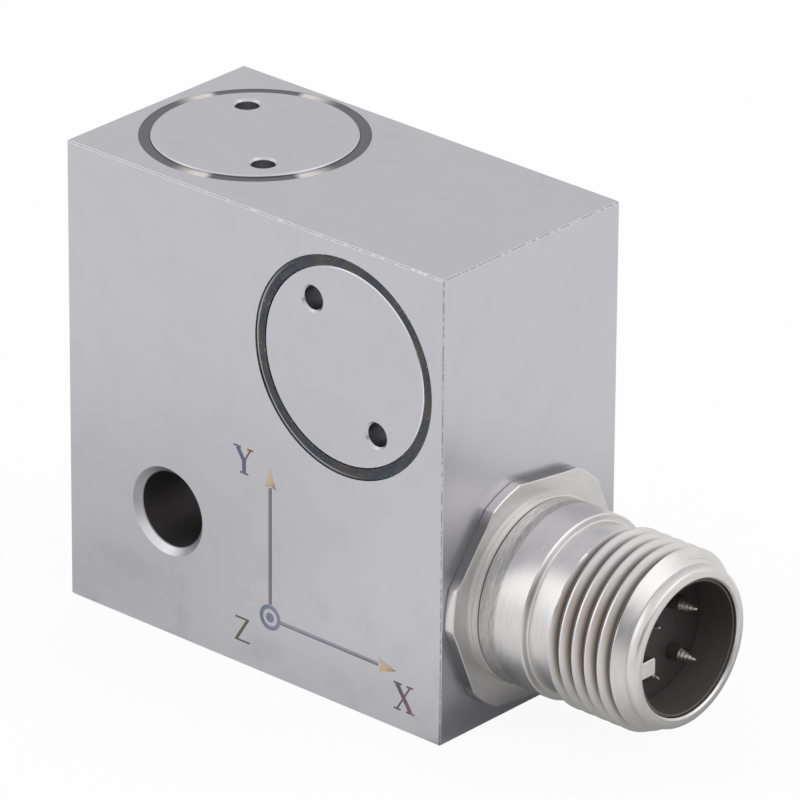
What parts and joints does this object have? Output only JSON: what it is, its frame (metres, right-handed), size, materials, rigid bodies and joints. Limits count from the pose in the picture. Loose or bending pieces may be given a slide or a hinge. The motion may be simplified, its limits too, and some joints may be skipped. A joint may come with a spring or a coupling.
{
  "type": "vibration sensor",
  "caption": "Triaxial vibration sensor: a stainless steel block with two screwed round covers, a bolt hole through it and a round threaded connector on one side.",
  "frame": {"origin": "middle of the block's bottom face", "axes": "+X out of the connector, -Y out of the front cover, +Z out of the top cover"},
  "size_m": [0.0439, 0.016, 0.0311],
  "materials": {
    "block_steel": "satin ground stainless steel",
    "cover_steel": "satin ground stainless steel",
    "turned_steel": "bright turned stainless steel",
    "contact_metal": "bright plated contact",
    "insert_plastic": "black moulded plastic",
    "seal_rubber": "black rubber",
    "ring_nut_steel": "turned stainless steel",
    "potting_resin": "dark resin",
    "board_laminate": "green circuit laminate",
    "chip_black": "black moulded chip",
    "insulator_ceramic": "white alumina",
    "piezo_ceramic": "fired piezo ceramic, tan",
    "electrode_brass": "brass foil",
    "mass_metal": "turned dense alloy",
    "screw_steel": "alloy steel",
    "lead_sleeve": "white sleeved lead"
  },
  "bodies": {
    "root": {"housing": "block_steel", "top_cover": "cover_steel", "front_cover": "cover_steel", "top_cover_gasket": "seal_rubber", "front_cover_gasket": "seal_rubber", "connector_shell": "turned_steel", "connector_seal": "seal_rubber", "contact_insert": "insert_plastic", "insert_retaining_ring": "ring_nut_steel", "pin_potting": "potting_resin", "amplifier_board": "board_laminate", "amplifier_chips": "chip_black", "top_lead": "lead_sleeve", "front_lead": "lead_sleeve", "side_lead": "lead_sleeve", "contact_pin_1": "contact_metal", "contact_pin_2": "contact_metal", "contact_pin_3": "contact_metal", "contact_pin_4": "contact_metal", "top_insulator": "insulator_ceramic", "top_lower_piezo_ring": "piezo_ceramic", "top_electrode": "electrode_brass", "top_upper_piezo_ring": "piezo_ceramic", "top_seismic_mass": "mass_metal", "top_spring_washer": "screw_steel", "top_preload_screw": "screw_steel", "front_insulator": "insulator_ceramic", "front_lower_piezo_ring": "piezo_ceramic", "front_electrode": "electrode_brass", "front_upper_piezo_ring": "piezo_ceramic", "front_seismic_mass": "mass_metal", "front_spring_washer": "screw_steel", "front_preload_screw": "screw_steel", "side_insulator": "insulator_ceramic", "side_lower_piezo_ring": "piezo_ceramic", "side_electrode": "electrode_brass", "side_upper_piezo_ring": "piezo_ceramic", "side_seismic_mass": "mass_metal", "side_spring_washer": "screw_steel", "side_preload_screw": "screw_steel"}
  },
  "joints": []
}
